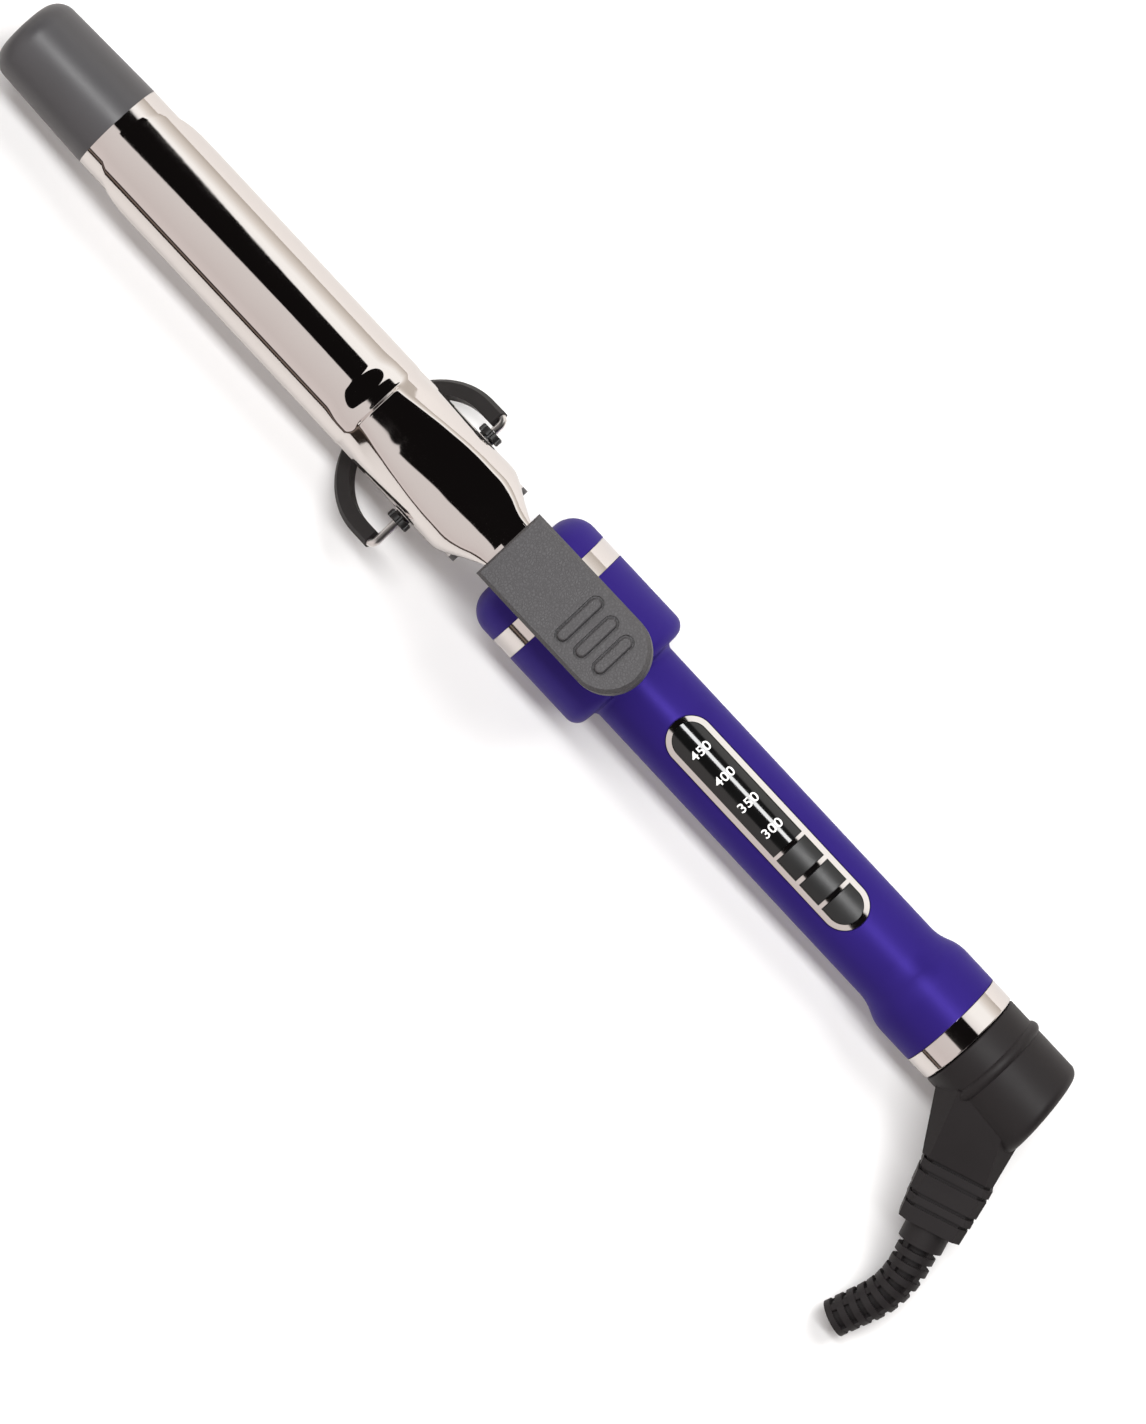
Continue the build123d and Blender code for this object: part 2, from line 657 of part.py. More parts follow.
def make_tact_switches():
    switches = []
    for start, end in BUTTON_SPANS.values():
        middle = (start + end) / 2
        case = Pos(middle, 0, BOARD_TOP + 0.75) * Box(4.2, 4.2, 1.5)
        plunger = Pos(middle, 0, BOARD_TOP + 1.7) * Cylinder(1.1, 0.5)
        switches.append(case + plunger)
    return group(switches)


def make_indicator_leds():
    lamps = []
    for step in range(4):
        lamps.append(Pos(SCALE_FIRST + step * SCALE_STEP, 0, BOARD_TOP + 0.7) * Box(3.0, 1.6, 1.4))
    return group(lamps)


def lead(points, radius):
    """A wire along straight runs joined by arcs."""
    path = FilletPolyline(*points, radius=3.0)
    start = Plane(origin=path @ 0, z_dir=path % 0)
    return sweep(start * Circle(radius), path.wire())


def make_power_leads():
    leads = []
    for side in (1, -1):
        leads.append(lead([(151.0, side * 3, 3.55), (161.0, side * 5, 1.5), (172.9, side * 7, 0)], LEAD_R))
    return group(leads)


def make_heater_leads():
    leads = []
    for side in (1, -1):
        route = [(-9.0, 3.0, 0), (20, 3.6, 0), (64, 3.6, 0), (71, 4.4, 0.2), (79, 4.4, 0.6), (86, 2.6, 3.55)]
        leads.append(lead([(x, side * y, z) for x, y, z in route], LEAD_R))
    return group(leads)


# ---------------------------------------------------------------- cord swivel


def make_brush_holder():
    """The fixed half of the swivel, held inside the end band."""
    body = tube(11.15, SPINDLE_R + 1.0, GRIP_END - 5, GRIP_END - 2.6)
    for side in (1, -1):
        body += block((GRIP_END - 11, GRIP_END - 4), (side * 8.5 - 1.5, side * 8.5 + 1.5), (-2, 2))
    return body


def make_brush_contacts():
    """Two sprung contacts, one on each slip ring."""
    contacts = []
    for side, x in ((1, GRIP_END - 7.0), (-1, GRIP_END - 10.0)):
        low, high = sorted((side * 5.75, side * 6.95))
        contacts.append(block((x - 0.6, x + 0.6), (low, high), (-1.5, 1.5)))
    return group(contacts)


def make_end_bearing():
    """The fixed ring that the spindle turns in."""
    return tube(11.15, SPINDLE_R + SLIP, RING_START + 1, RING_END - 0.2)


def make_swivel_spindle():
    body = tube(SPINDLE_R, 3.4, GRIP_END - 12, ELBOW_START + 6)
    flange = tube(SPINDLE_R + 2.4, 3.4, GRIP_END - 2.3, RING_START + 0.7)
    return body + flange


def make_slip_rings():
    rings = []
    for x in (GRIP_END - 7.0, GRIP_END - 10.0):
        rings.append(tube(SPINDLE_R + 0.6, SPINDLE_R, x - 1, x + 1))
    return group(rings)


def neck_plane(distance):
    """A plane across the elbow's neck, at a distance from its first block."""
    turn = math.radians(NECK_TURN)
    along = Vector(math.cos(turn), -math.sin(turn), 0)
    origin = Vector(NECK_X, NECK_Y, 0) + along * distance
    return Plane(origin=origin, x_dir=(math.sin(turn), math.cos(turn), 0), z_dir=along)


def soft_rectangle(width, height, bevel):
    return chamfer(Rectangle(width, height).vertices(), bevel)


def neck_face(distance, width, height, bevel, shift=0.0):
    return neck_plane(distance) * (Pos(shift, 0) * soft_rectangle(width, height, bevel))


def make_cord_elbow():
    """The soft moulding that turns the cord to the side of the handle."""
    drum = turned(
        [(ELBOW_START, 0), (ELBOW_START, ELBOW_R), (ELBOW_START + 30, ELBOW_R), (ELBOW_START + 30, 0)],
        [((ELBOW_START, ELBOW_R), 0.6)],
    )
    end_cut = Pos(ELBOW_START + ELBOW_LENGTH, 0, 0) * Rot(0, 0, ELBOW_END_TILT) * block((0, 40), (-40, 40), (-40, 40))
    drum = largest(drum - end_cut)
    rear = drum.faces().sort_by(Axis.X)[-1]
    drum = fillet(rear.edges(), ELBOW_ROUND)
    bead = Pos(BEAD_X, 0, 0) * AXIAL * Torus(ELBOW_R - 0.85, BEAD_R)
    neck = loft([neck_face(*NECK_ROOT), neck_face(*NECK_TAPER_END)], ruled=True)
    body = drum + bead + neck
    for start, end, start_width, end_width, height, bevel in NECK_BLOCKS:
        body += loft([
            neck_face(start, start_width, height, bevel),
            neck_face(end, end_width, height * end_width / start_width, bevel),
        ], ruled=True)
    socket = bar(SPINDLE_R + 0.02, ELBOW_START - 1, ELBOW_START + 6)
    cord_way = bar(CORD_BORE_R, ELBOW_START, 208)
    turn_way = neck_plane(-19.0) * extrude(Circle(CORD_BORE_R), 19.0 + RELIEF_START + 1)
    return largest(body - socket - cord_way - turn_way)


def relief_path():
    """The strain relief's centre line: straight, one arc back towards the handle, straight."""
    turn = math.radians(RELIEF_TURN)
    arc_end = (RELIEF_STRAIGHT + RELIEF_ARC_R * math.sin(turn), RELIEF_ARC_R * (1 - math.cos(turn)))
    arc_middle = (
        RELIEF_STRAIGHT + RELIEF_ARC_R * math.sin(turn / 2),
        RELIEF_ARC_R * (1 - math.cos(turn / 2)),
    )
    end = (arc_end[0] + RELIEF_END * math.cos(turn), arc_end[1] + RELIEF_END * math.sin(turn))
    first = neck_plane(RELIEF_START)
    droop = math.radians(RELIEF_DROOP)
    side = first.x_dir * -math.cos(droop) + Vector(0, 0, -math.sin(droop))
    flat = Plane(origin=first.origin, x_dir=first.z_dir, z_dir=first.z_dir.cross(side))
    runs = [
        Line((0, 0), (RELIEF_STRAIGHT, 0)),
        ThreePointArc((RELIEF_STRAIGHT, 0), arc_middle, arc_end),
        Line(arc_end, end),
    ]
    return flat * Wire([edge for run in runs for edge in run.edges()])


def relief_plane(path, fraction):
    """A plane across the strain relief with its x direction level."""
    along = path % fraction
    return Plane(origin=path @ fraction, x_dir=along.cross(Vector(0, 0, 1)), z_dir=along)


def make_strain_relief():
    path = relief_path()
    length = path.length
    start = relief_plane(path, 0)
    cross = Circle(RELIEF_CORE_R)
    for turn in (45, 135):
        cross += Rot(0, 0, turn) * Rectangle(2 * RELIEF_SPINE_R, 1.8)
    body = sweep(start * cross, path)
    body += extrude(start * Circle(6.0), 5.2)
    first_rib = length - (RELIEF_RIBS - 1) * RELIEF_PITCH - 1.6
    for step in range(RELIEF_RIBS):
        last = step == RELIEF_RIBS - 1
        place = relief_plane(path, (first_rib + step * RELIEF_PITCH) / length)
        radius = RELIEF_RIB_R - 0.04 * step
        rib = extrude(place * Circle(radius), 1.6 if last else 1.9)
        body += rib
    bore = sweep(start * Circle(CORD_BORE_R), path)
    return largest(body - bore)


# ---------------------------------------------------------------- assembly


def droop_to_floor(floor_z):
    """The angle that lets the strain relief's end reach the surface that the iron stands on."""
    path = relief_path()
    tip = path @ 1
    low, high = 0.0, 30.0
    for _ in range(30):
        angle = (low + high) / 2
        turn = math.radians(angle)
        height = tip.Y * math.sin(turn) + tip.Z * math.cos(turn) - RELIEF_RIB_R * math.cos(turn)
        low, high = (angle, high) if height > floor_z else (low, angle)
    return angle


def make_parts():
    wire = make_stand_wire()
    parts = {
        "cool_tip": make_cool_tip(),
        "tip_disc": make_tip_disc(),
        "tip_screw": make_tip_screw(),
        "barrel_tube": make_barrel_tube(),
        "barrel_screws": make_barrel_screws(),
        "barrel_neck": make_barrel_neck(),
        "heat_spreader_upper": make_heat_spreader(1),
        "heat_spreader_lower": make_heat_spreader(-1),
        "ceramic_heater": make_ceramic_heater(),
        "heater_terminals": make_heater_terminals(),
        "temperature_sensor": make_temperature_sensor(),
        "thermal_fuse": make_thermal_fuse(),
        "clamp_spoon": make_clamp_spoon(),
        "thumb_pad": make_thumb_pad(),
        "pad_screws": make_pad_screws(),
        "clamp_spring": make_clamp_spring(),
        "pivot_bushings": make_pivot_bushings(),
        "stand_wire": wire,
        "stand_strap": make_stand_strap(wire),
        "handle_nose": make_handle_nose(),
        "shoulder_band": make_shoulder_band(),
        "handle_upper_shell": make_upper_shell(),
        "handle_lower_shell": make_lower_shell(),
        "shell_screws": make_shell_screws(),
        "control_bezel": make_control_bezel(),
        "display_lens": make_display_lens(),
        "indicator_leds": make_indicator_leds(),
        "circuit_board": make_circuit_board(),
        "board_screws": make_board_screws(),
        "tact_switches": make_tact_switches(),
        "power_leads": make_power_leads(),
        "heater_leads": make_heater_leads(),
        "end_band": make_end_band(),
        "end_bearing": make_end_bearing(),
        "brush_holder": make_brush_holder(),
        "brush_contacts": make_brush_contacts(),
        "swivel_spindle": make_swivel_spindle(),
        "slip_rings": make_slip_rings(),
    }
    for name, (start, end) in BUTTON_SPANS.items():
        parts[name] = make_button(start, end)
    droop = Rot(droop_to_floor(-SHOULDER_R), 0, 0)
    parts["cord_elbow"] = droop * make_cord_elbow()
    parts["strain_relief"] = droop * make_strain_relief()
    return parts


def origin_shift(parts):
    """The move that puts the origin at the middle of the whole object's base."""
    boxes = [shape.bounding_box() for shape in parts.values()]
    low = [min(getattr(box.min, axis) for box in boxes) for axis in "XYZ"]
    high = [max(getattr(box.max, axis) for box in boxes) for axis in "XYZ"]
    return Vector(-(low[0] + high[0]) / 2, -(low[1] + high[1]) / 2, -low[2])


def main():
    os.makedirs("parts", exist_ok=True)
    parts = make_parts()
    shift = Location(origin_shift(parts))
    placed = {name: shift * shape for name, shape in parts.items()}
    for name, shape in placed.items():
        export_step(shape, f"parts/{name}.step")
    return placed


if __name__ == "__main__":
    main()
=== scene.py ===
"""Looks of a 25 mm clamp curling iron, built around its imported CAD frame."""

import json
import math
import bmesh
import bpy
from mathutils import Matrix, Vector

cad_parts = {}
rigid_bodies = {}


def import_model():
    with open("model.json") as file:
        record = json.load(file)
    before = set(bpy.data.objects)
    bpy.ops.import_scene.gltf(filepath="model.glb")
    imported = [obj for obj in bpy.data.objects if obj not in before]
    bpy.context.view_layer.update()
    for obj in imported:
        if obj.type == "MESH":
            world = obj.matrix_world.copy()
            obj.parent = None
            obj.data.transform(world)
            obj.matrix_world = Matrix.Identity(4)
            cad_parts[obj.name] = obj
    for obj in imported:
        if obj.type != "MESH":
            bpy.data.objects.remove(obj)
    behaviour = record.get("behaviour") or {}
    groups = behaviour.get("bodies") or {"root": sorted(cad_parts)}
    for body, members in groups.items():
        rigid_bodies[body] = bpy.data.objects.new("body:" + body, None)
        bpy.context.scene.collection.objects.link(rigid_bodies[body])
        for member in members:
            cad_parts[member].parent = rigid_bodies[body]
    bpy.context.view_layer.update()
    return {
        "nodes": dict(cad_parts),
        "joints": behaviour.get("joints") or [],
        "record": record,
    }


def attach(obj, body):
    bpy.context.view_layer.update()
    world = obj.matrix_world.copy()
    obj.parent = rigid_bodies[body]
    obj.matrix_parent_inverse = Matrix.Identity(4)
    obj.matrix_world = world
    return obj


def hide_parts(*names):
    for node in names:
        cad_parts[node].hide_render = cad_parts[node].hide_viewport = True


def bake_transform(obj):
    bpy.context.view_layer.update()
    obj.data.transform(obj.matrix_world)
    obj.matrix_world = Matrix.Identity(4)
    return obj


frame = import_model()

# ---------------------------------------------------------------- sizes
# The design frame is in millimetres from the clamp's pivot, as in the CAD: +X to the cord end.

MM = 0.001
PIVOT = Vector(next(j for j in frame["joints"] if j["name"] == "clamp_hinge")["pos_m"])

JAW_START = -115.8
JAW_END = -27.3
JAW_R = 13.9
JAW_RISE = 1.5
JAW_EDGE = 0.5
SHEET = 0.9
GROOVE_DEPTH = 1.45
GROOVE_IN = -32.5
GROOVE_LOW = -27.0
GROOVE_HIGH = -24.6
GROOVE_OUT = -23.3
GRIP_R = 12.1
WINDOW_R = GRIP_R - 0.05
PAD_X = 23.2
PAD_Z = 24.4
PAD_TILT = math.radians(13.0)

# Finish of the meshes
SHARP_ANGLE = math.radians(32)
WELD = 2e-6

# Camera and table: the camera's height and the table's radius are in metres, the rest as above
AXIS_TURN = math.radians(46.95)
CAMERA_HEIGHT = 1.55
CAMERA_X = 18.0
AIM = Vector((64.2, -16.4, 0.0))
LENS_MM = 158.0
SENSOR_MM = 36.0
FLOOR_R = 0.34


def at(x, y, z):
    """A point given in millimetres from the pivot, in the scene's metres."""
    return PIVOT + Vector((x, y, z)) * MM


def smooth(value):
    """A soft step from 0 to 1."""
    value = min(max(value, 0.0), 1.0)
    return value * value * (3 - 2 * value)


def ramp(value, start, end):
    return smooth((value - start) / (end - start))


# ---------------------------------------------------------------- material tools


class Graph:
    """Short names for building a node tree."""

    def __init__(self, tree):
        self.tree = tree

    def node(self, kind, **settings):
        node = self.tree.nodes.new(kind)
        for key, value in settings.items():
            setattr(node, key, value)
        return node

    def link(self, source, target):
        self.tree.links.new(source, target)

    def math(self, operation, *values):
        """A maths node whose inputs are sockets or plain numbers."""
        node = self.node("ShaderNodeMath", operation=operation)
        for socket, value in zip(node.inputs, values):
            if isinstance(value, bpy.types.NodeSocket):
                self.link(value, socket)
            else:
                socket.default_value = value
        return node.outputs["Value"]

    def span(self, source, low, high, from_low=0.0, from_high=1.0):
        """The source's range from_low..from_high moved to low..high."""
        node = self.node("ShaderNodeMapRange")
        node.inputs["From Min"].default_value = from_low
        node.inputs["From Max"].default_value = from_high
        node.inputs["To Min"].default_value = low
        node.inputs["To Max"].default_value = high
        self.link(source, node.inputs["Value"])
        return node.outputs["Result"]

    def mix(self, source, first, second):
        """A colour between two, by the source's value; each is a socket or an RGB triple."""
        node = self.node("ShaderNodeMix", data_type="RGBA")
        self.link(source, node.inputs["Factor"])
        for socket, colour in ((node.inputs[6], first), (node.inputs[7], second)):
            if isinstance(colour, bpy.types.NodeSocket):
                self.link(colour, socket)
            else:
                socket.default_value = (*colour, 1)
        return node.outputs[2]

    def ramp(self, source, stops):
        """A colour ramp over 0..1 with (position, colour) stops."""
        node = self.node("ShaderNodeValToRGB")
        elements = node.color_ramp.elements
        while len(elements) < len(stops):
            elements.new(0.5)
        for element, (position, colour) in zip(elements, stops):
            element.position = position
            element.color = (*colour, 1)
        self.link(source, node.inputs["Fac"])
        return node.outputs["Color"]


class Paint(Graph):
    """A material under construction: its node tree and its principled shader."""

    def __init__(self, name):
        self.material = bpy.data.materials.new(name)
        self.material.use_nodes = True
        super().__init__(self.material.node_tree)
        self.shader = self.tree.nodes["Principled BSDF"]
        self.coords = self.tree.nodes.new("ShaderNodeTexCoord").outputs["Object"]

    def set(self, **values):
        for key, value in values.items():
            self.shader.inputs[key.replace("_", " ")].default_value = value

    def stretched(self, scale):
        """Object coordinates in metres, scaled on each axis."""
        mapping = self.node("ShaderNodeMapping")
        mapping.inputs["Scale"].default_value = scale
        self.link(self.coords, mapping.inputs["Vector"])
        return mapping.outputs["Vector"]

    def noise(self, scale, detail=3.0, roughness=0.55, stretch=(1, 1, 1)):
        node = self.node("ShaderNodeTexNoise")
        node.inputs["Scale"].default_value = scale
        node.inputs["Detail"].default_value = detail
        node.inputs["Roughness"].default_value = roughness
        self.link(self.stretched(stretch), node.inputs["Vector"])
        return node.outputs["Fac"]

    def cells(self, scale, feature="F1", stretch=(1, 1, 1)):
        node = self.node("ShaderNodeTexVoronoi", feature=feature)
        node.inputs["Scale"].default_value = scale
        self.link(self.stretched(stretch), node.inputs["Vector"])
        return node.outputs["Distance"]

    def sum(self, first, second, weight=1.0):
        return self.math("MULTIPLY_ADD", second, weight, first)

    def colour(self, source):
        self.link(source, self.shader.inputs["Base Color"])

    def rough(self, source):
        self.link(source, self.shader.inputs["Roughness"])

    def bump(self, source, distance, strength=1.0):
        node = self.node("ShaderNodeBump")
        node.inputs["Distance"].default_value = distance
        node.inputs["Strength"].default_value = strength
        self.link(source, node.inputs["Height"])
        self.link(node.outputs["Normal"], self.shader.inputs["Normal"])


def plated(name, tint, base_rough):
    """Bright nickel-chrome plating: a little orange peel, faint wiping marks and dulled patches."""
    paint = Paint(name)
    patches = paint.noise(60, 3)
    wipes = paint.noise(900, 2, stretch=(0.05, 1, 1))
    paint.colour(paint.mix(patches, tuple(0.96 * c for c in tint), tint))
    paint.rough(paint.span(paint.sum(patches, wipes, 0.6), base_rough, base_rough + 0.045, 0.5, 1.1))
    paint.bump(paint.sum(paint.noise(220, 2), wipes, 0.04), 4e-6)
    paint.set(Metallic=1.0)
    return paint.material


def moulded(name, dark, light, base_rough, grain, depth, shine=0.45):
    """Moulded plastic or rubber with a spark-eroded grain and slight tone changes."""
    paint = Paint(name)
    grit = paint.noise(grain, 4, 0.6)
    clouds = paint.noise(45, 3)
    paint.colour(paint.mix(paint.sum(clouds, grit, 0.25), dark, light))
    paint.rough(paint.span(clouds, base_rough - 0.05, base_rough + 0.06, 0.3, 0.7))
    paint.bump(grit, depth)
    paint.set(Specular_IOR_Level=shine)
    return paint.material


def leather_grain_with_crease_shade(name, dark, light):
    """Grey plastic moulded with a leather-like grain of pebbles and creases; its colour is darker in the
    creases, painted shade.
    """
    paint = Paint(name)
    pebbles = paint.cells(2300, "SMOOTH_F1", stretch=(1, 0.7, 1))
    creases = paint.cells(1500, "DISTANCE_TO_EDGE", stretch=(1, 0.75, 1))
    folds = paint.noise(700, 4, 0.6, stretch=(1, 0.6, 1))
    height = paint.sum(paint.span(creases, 0.0, 1.0, 0.0, 0.3), pebbles, -0.7)
    height = paint.sum(height, folds, 1.3)
    # Painted shade: the colour follows the grain's height, darker in the creases and at the pebble edges; the
    # broad folds add random tone.
    paint.colour(paint.mix(paint.span(height, 0.0, 1.0, 0.2, 1.5), dark, light))
    paint.rough(paint.span(folds, 0.42, 0.58, 0.3, 0.7))
    paint.bump(height, 3.2e-5, 0.9)
    paint.set(Specular_IOR_Level=0.5)
    return paint.material


def soft_touch(name, dark, light):
    """Soft-touch lacquer: velvety, with a broad soft highlight and very fine texture."""
    paint = Paint(name)
    clouds = paint.noise(30, 2)
    grit = paint.noise(4200, 3, 0.65)
    paint.colour(paint.mix(paint.sum(clouds, grit, 0.15), dark, light))
    paint.rough(paint.span(clouds, 0.40, 0.46, 0.3, 0.7))
    paint.bump(grit, 7e-6)
    paint.set(Metallic=0.35, Specular_IOR_Level=0.25, Specular_Tint=(0.45, 0.35, 1.0, 1.0))
    return paint.material


def glossy(name, dark, light, base_rough):
    """Polished plastic with faint hairlines and dust-dulled patches."""
    paint = Paint(name)
    patches = paint.noise(120, 3)
    hairs = paint.noise(1500, 2, stretch=(0.08, 1, 1))
    paint.colour(paint.mix(patches, dark, light))
    paint.rough(paint.span(paint.sum(patches, hairs, 0.5), base_rough, base_rough + 0.06, 0.5, 1.0))
    paint.bump(hairs, 1.5e-6)
    paint.set(Coat_Weight=0.3, Coat_Roughness=0.05)
    return paint.material


def worked_metal(name, tint, base_rough, stretch=(1, 1, 1)):
    """Drawn, turned or extruded metal: streaks along its working direction and dull spots."""
    paint = Paint(name)
    streaks = paint.noise(1400, 3, stretch=stretch)
    spots = paint.noise(300, 3)
    paint.colour(paint.mix(spots, tuple(0.8 * c for c in tint), tint))
    paint.rough(paint.span(paint.sum(streaks, spots, 0.5), base_rough - 0.08, base_rough + 0.12, 0.4, 1.1))
    paint.bump(streaks, 4e-6)
    paint.set(Metallic=1.0)
    return paint.material


def bead_glass(name, tint):
    """Tinted glass with faint swirls."""
    paint = Paint(name)
    swirl = paint.noise(900, 2)
    paint.colour(paint.mix(swirl, tuple(0.8 * c for c in tint), tint))
    paint.rough(paint.span(swirl, 0.04, 0.12, 0.3, 0.7))
    paint.set(Transmission_Weight=0.7, IOR=1.5)
    return paint.material


CHROME = (0.80, 0.765, 0.745)
WIRE_CHROME = (0.93, 0.91, 0.89)
RUBBER = ((0.009, 0.0075, 0.008), (0.014, 0.012, 0.0125))

MATERIALS = {
    "cap_grey": lambda n: moulded(n, (0.042, 0.041, 0.043), (0.056, 0.054, 0.058), 0.40, 2600, 9e-6, 0.6),
    "pad_grey": lambda n: leather_grain_with_crease_shade(n, (0.036, 0.034, 0.036), (0.058, 0.056, 0.059)),
    "barrel_chrome": lambda n: plated(n, CHROME, 0.035),
    "clamp_chrome": lambda n: plated(n, CHROME, 0.025),
    "trim_chrome": lambda n: plated(n, CHROME, 0.05),
    "wire_chrome": lambda n: plated(n, WIRE_CHROME, 0.30),
    "handle_purple": lambda n: soft_touch(n, (0.021, 0.011, 0.135), (0.028, 0.015, 0.170)),
    "window_black": lambda n: glossy(n, (0.003, 0.003, 0.003), (0.005, 0.005, 0.005), 0.05),
    "button_black": lambda n: moulded(n, (0.007, 0.007, 0.007), (0.012, 0.012, 0.012), 0.33, 3600, 4e-6),
    "elbow_rubber": lambda n: moulded(n, *RUBBER, 0.50, 1900, 1.1e-5, 0.28),
    "relief_rubber": lambda n: moulded(n, *RUBBER, 0.52, 2100, 1.1e-5, 0.28),
    "strap_black": lambda n: moulded(n, (0.010, 0.009, 0.009), (0.016, 0.014, 0.014), 0.42, 2400, 8e-6, 0.35),
    "bushing_black": lambda n: moulded(n, (0.006, 0.006, 0.006), (0.011, 0.010, 0.010), 0.36, 2600, 6e-6),
    "neck_resin": lambda n: moulded(n, (0.012, 0.011, 0.011), (0.020, 0.018, 0.018), 0.48, 1500, 1.2e-5),
    "inner_resin": lambda n: moulded(n, (0.46, 0.44, 0.38), (0.58, 0.55, 0.49), 0.45, 1200, 1.0e-5),
    "screw_steel": lambda n: worked_metal(n, (0.56, 0.56, 0.57), 0.30),
    "spring_steel": lambda n: worked_metal(n, (0.38, 0.38, 0.40), 0.34, (0.1, 1, 1)),
    "spreader_aluminium": lambda n: worked_metal(n, (0.74, 0.74, 0.75), 0.38, (0.05, 1, 1)),
    "heater_ceramic": lambda n: moulded(n, (0.66, 0.64, 0.60), (0.78, 0.76, 0.72), 0.60, 1700, 1.2e-5),
    "contact_brass": lambda n: worked_metal(n, (0.76, 0.57, 0.24), 0.26),
    "sensor_glass": lambda n: bead_glass(n, (0.75, 0.50, 0.30)),
    "board_green": lambda n: moulded(n, (0.015, 0.095, 0.040), (0.024, 0.14, 0.060), 0.32, 900, 8e-6),
    "switch_black": lambda n: moulded(n, (0.010, 0.010, 0.010), (0.018, 0.018, 0.018), 0.4, 2000, 6e-6),
    "scale_white": lambda n: moulded(n, (0.80, 0.80, 0.79), (0.90, 0.90, 0.89), 0.38, 2600, 3e-6),
    "lead_sleeve": lambda n: moulded(n, (0.42, 0.05, 0.035), (0.55, 0.075, 0.05), 0.45, 1800, 7e-6),
}


def dress_frame(finishes):
    """Gives every CAD node its finish and smooth shading between its real edges."""
    for part in frame["record"]["subparts"]:
        node = frame["nodes"][part["node"]]
        node.data.materials.clear()
        node.data.materials.append(finishes[part["material_slot"]])
        node.data.shade_smooth()
        node.data.set_sharp_from_angle(angle=SHARP_ANGLE)


# ---------------------------------------------------------------- mesh tools


def piece(name, mesh, material, slot, body, *stands_for):
    """A new visible piece that rides on a body and may stand for CAD nodes."""
    obj = bpy.data.objects.new(name, mesh)
    bpy.context.scene.collection.objects.link(obj)
    obj.data.materials.append(material)
    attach(obj, body)
    if stands_for:
        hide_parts(*stands_for)
    return obj


def grid_faces(mesh, rows, closed_across=False):
    """Skins a list of rows of points with quads and returns the vertex rows."""
    rings = [[mesh.verts.new(point) for point in row] for row in rows]
    across = len(rings[0])
    last = across if closed_across else across - 1
    for low, high in zip(rings, rings[1:]):
        for i in range(last):
            j = (i + 1) % across
            mesh.faces.new((low[i], low[j], high[j], high[i]))
    return rings


# ---------------------------------------------------------------- clamp

# The lever's half sections: station along X, then (y, z) from the middle of its top to its lower edge.
LEVER_ROWS = (
    (-23.6, ((0, 15.05), (4.4, 15.0), (6.2, 14.35), (7.4, 13.2), (11.8, 8.6), (13.7, 2.0))),
    (-17.0, ((0, 15.2), (5.2, 15.12), (7.3, 14.4), (8.6, 13.0), (12.9, 8.0), (13.9, 0.8))),
    (-10.0, ((0, 15.45), (5.2, 15.38), (8.2, 14.6), (9.6, 13.2), (13.4, 7.6), (13.9, 0.5))),
    (0.0, ((0, 16.5), (4.2, 16.45), (8.7, 15.6), (10.6, 14.2), (13.7, 8.4), (13.9, 0.5))),
    (5.5, ((0, 17.8), (4.3, 17.75), (8.9, 16.9), (10.9, 15.4), (13.8, 10.0), (13.9, 2.0))),
    (10.9, ((0, 19.7), (4.3, 19.65), (8.9, 18.7), (10.9, 17.2), (13.7, 12.2), (13.8, 4.5))),
    (14.5, ((0, 21.3), (4.2, 21.25), (8.3, 20.4), (9.9, 19.1), (12.0, 15.6), (12.2, 9.5))),
    (18.5, ((0, 23.1), (4.0, 23.05), (7.0, 22.4), (8.2, 21.4), (9.6, 19.3), (9.8, 16.4))),
    (23.2, ((0, 25.2), (3.8, 25.15), (6.0, 24.9), (6.9, 24.4), (7.5, 23.6), (7.6, 22.4))),
)
ACROSS = 44
CORNER_CUTS = 3
FRONT_STEPS = 16
FINE_STEP = 0.28
COARSE_STEP = 1.2
GROOVE_NARROWING = 1.75
GROOVE_FADE = 1.5
SHEET_BEVEL = 0.4
BEVEL_ANGLE = math.radians(60)
LUG_SHARP_ANGLE = math.radians(40)
# One lug's ring section: radius and distance from the middle plane.
LUG_SECTION = ((2.32, 13.05), (2.32, 13.88), (4.45, 13.88), (4.6, 13.75), (4.6, 13.15), (4.45, 13.05))
LUG_SEGMENTS = 56
# The tongue's stations along the pad: distance and half width.
TONGUE_STATIONS = ((-1.5, 6.1), (0.0, 6.15), (20.0, 6.15), (36.5, 6.15), (38.0, 5.0))
TONGUE_LOW = 0.06
TONGUE_SHOULDER = 0.8
TONGUE_TOP = 0.88
TONGUE_CHAMFER = 0.1


def rounded(points, cuts):
    """Cuts the corners of an open outline again and again, keeping its two ends."""
    for _ in range(cuts):
        softer = [points[0]]
        for a, b in zip(points, points[1:]):
            softer.append(a.lerp(b, 0.25))
            softer.append(a.lerp(b, 0.75))
        softer.append(points[-1])
        points = softer
    return points


def spaced(points, count):
    """The same outline as count + 1 evenly spaced points."""
    lengths = [0.0]
    for a, b in zip(points, points[1:]):
        lengths.append(lengths[-1] + (b - a).length)
    result = []
    index = 0
    for step in range(count + 1):
        wanted = lengths[-1] * step / count
        while index < len(points) - 2 and lengths[index + 1] < wanted:
            index += 1
        share = (wanted - lengths[index]) / (lengths[index + 1] - lengths[index])
        result.append(points[index].lerp(points[index + 1], share))
    return result


def jaw_half(x):
    """The jaw's half section: an arc about an axis that rises towards the pivot."""
    rise = JAW_RISE * (x - JAW_START) / (JAW_END - JAW_START)
    low = math.asin(JAW_EDGE / JAW_R)
    points = []
    for step in range(ACROSS + 1):
        turn = math.pi / 2 - (math.pi / 2 - low) * step / ACROSS
        points.append(Vector((JAW_R * math.cos(turn), rise + JAW_R * math.sin(turn))))
    return points


